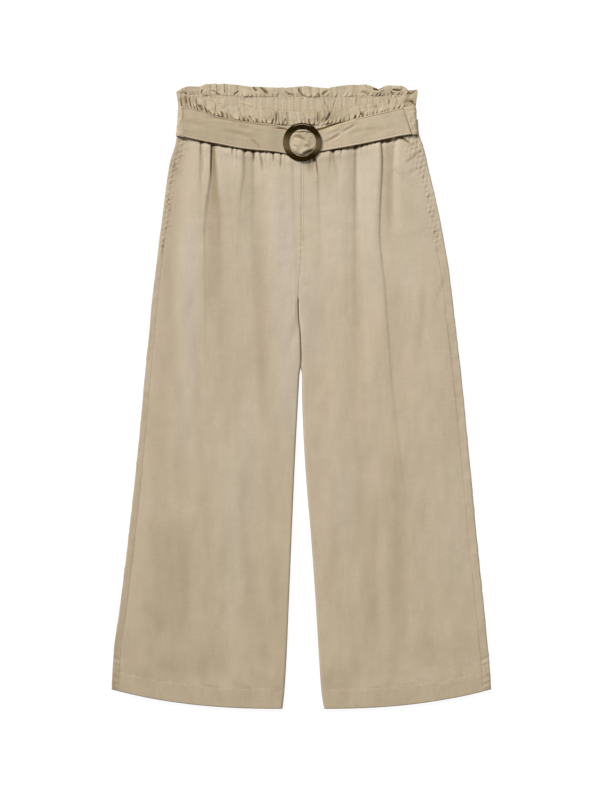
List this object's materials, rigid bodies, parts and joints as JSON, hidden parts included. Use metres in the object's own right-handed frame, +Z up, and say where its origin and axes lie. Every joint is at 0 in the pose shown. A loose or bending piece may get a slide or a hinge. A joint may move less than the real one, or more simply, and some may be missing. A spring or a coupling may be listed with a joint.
{
  "type": "culottes",
  "caption": "Wide-leg culottes with a gathered paper-bag waist, a cloth belt and a round ring buckle, lying flat on their back.",
  "frame": {"origin": "middle of the garment's outline, on the surface it lies on", "axes": "+Z up out of the front, +Y towards the waist, +X towards the wearer's left"},
  "size_m": [0.5698, 0.9395, 0.0143],
  "materials": {
    "cloth": "matte plain weave, sand",
    "buckle": "polished mottled dark brown"
  },
  "bodies": {
    "root": {"front_right": "cloth", "front_left": "cloth", "back_right": "cloth", "back_left": "cloth", "waistband_front": "cloth", "waistband_back": "cloth", "frill_front": "cloth", "frill_back": "cloth", "belt_front": "cloth", "belt_back": "cloth", "belt_loop_right": "cloth", "belt_loop_left": "cloth", "ring_buckle": "buckle"}
  },
  "joints": []
}
